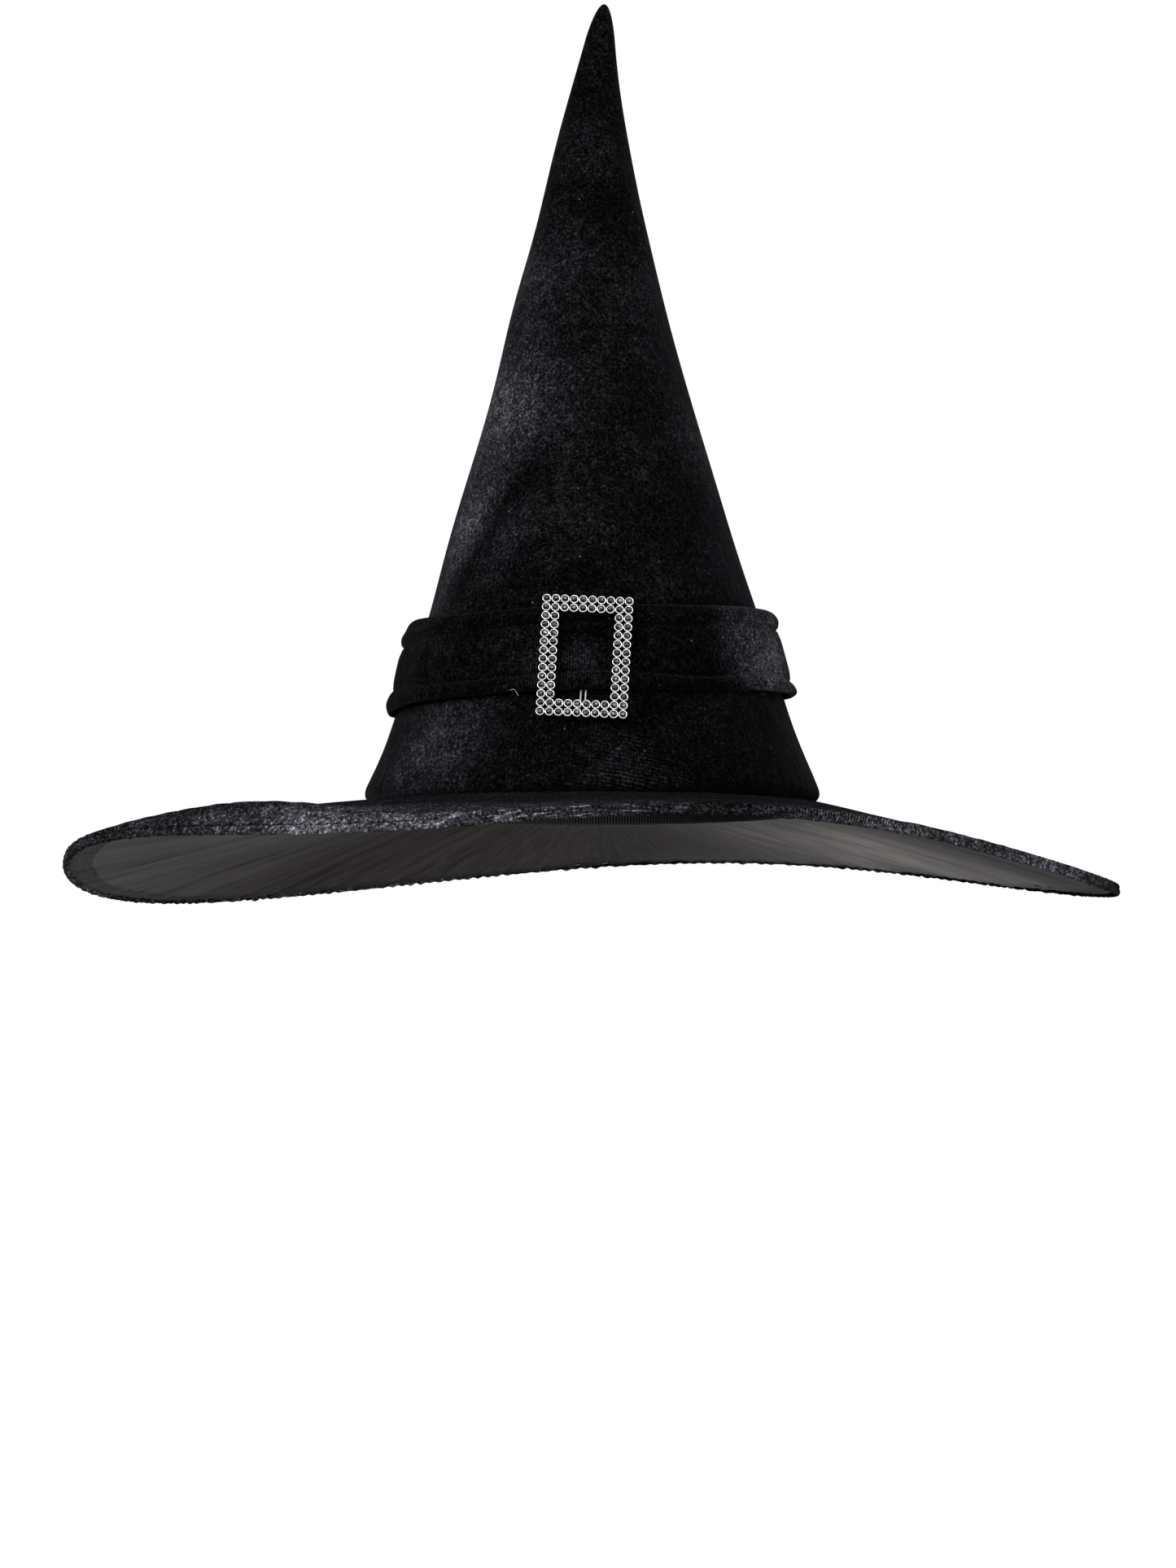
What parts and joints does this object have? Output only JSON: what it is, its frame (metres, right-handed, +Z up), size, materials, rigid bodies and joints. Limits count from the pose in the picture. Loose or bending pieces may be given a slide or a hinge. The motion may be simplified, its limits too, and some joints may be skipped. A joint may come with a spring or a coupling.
{
  "type": "witch hat",
  "caption": "Pointed costume hat with a tall slim velour cone, a wide wired drooping brim, a lipped hat band and a stone-set rectangular slide buckle.",
  "frame": {"origin": "lowest point of the brim, under the crown's axis", "axes": "+Z up along the crown, -Y towards the front with the buckle, +X to the right seen from the front"},
  "size_m": [0.483, 0.483, 0.4165],
  "materials": {
    "velour": "black stretch velour, short knitted pile with a grey-blue sheen at grazing angles",
    "foam": "dark grey felted foam interlining, matt",
    "lining": "charcoal plain-woven lining cloth, soft satin, faintly creased",
    "ribbon": "black ribbed ribbon, matt",
    "thread": "off-white sewing thread",
    "spring_steel": "bare spring wire",
    "plated_metal": "bright silver plating",
    "crystal": "clear foiled rhinestones, faceted"
  },
  "bodies": {
    "root": {"crown_cover": "velour", "crown_foam": "foam", "sweatband": "ribbon", "brim_top": "velour", "brim_foam": "foam", "brim_lining": "lining", "brim_wire": "spring_steel", "wire_sleeve": "spring_steel", "hat_band": "velour", "tack_front_left": "thread", "tack_front_right": "thread", "tack_back_left": "thread", "tack_back_right": "thread"},
    "buckle": {"buckle_frame": "plated_metal", "bar_wire_left": "plated_metal", "bar_wire_right": "plated_metal", "crystals_top_outer": "crystal", "crystals_top_inner": "crystal", "crystals_bottom_outer": "crystal", "crystals_bottom_inner": "crystal", "crystals_left_outer": "crystal", "crystals_left_inner": "crystal", "crystals_right_outer": "crystal", "crystals_right_inner": "crystal"}
  },
  "joints": [
    {"name": "buckle_slide", "type": "hinge", "parent": "root", "child": "buckle", "pos_m": [0, 0, 0.1], "axis": [0, 0, 1], "range_deg": [-14, 14]}
  ]
}
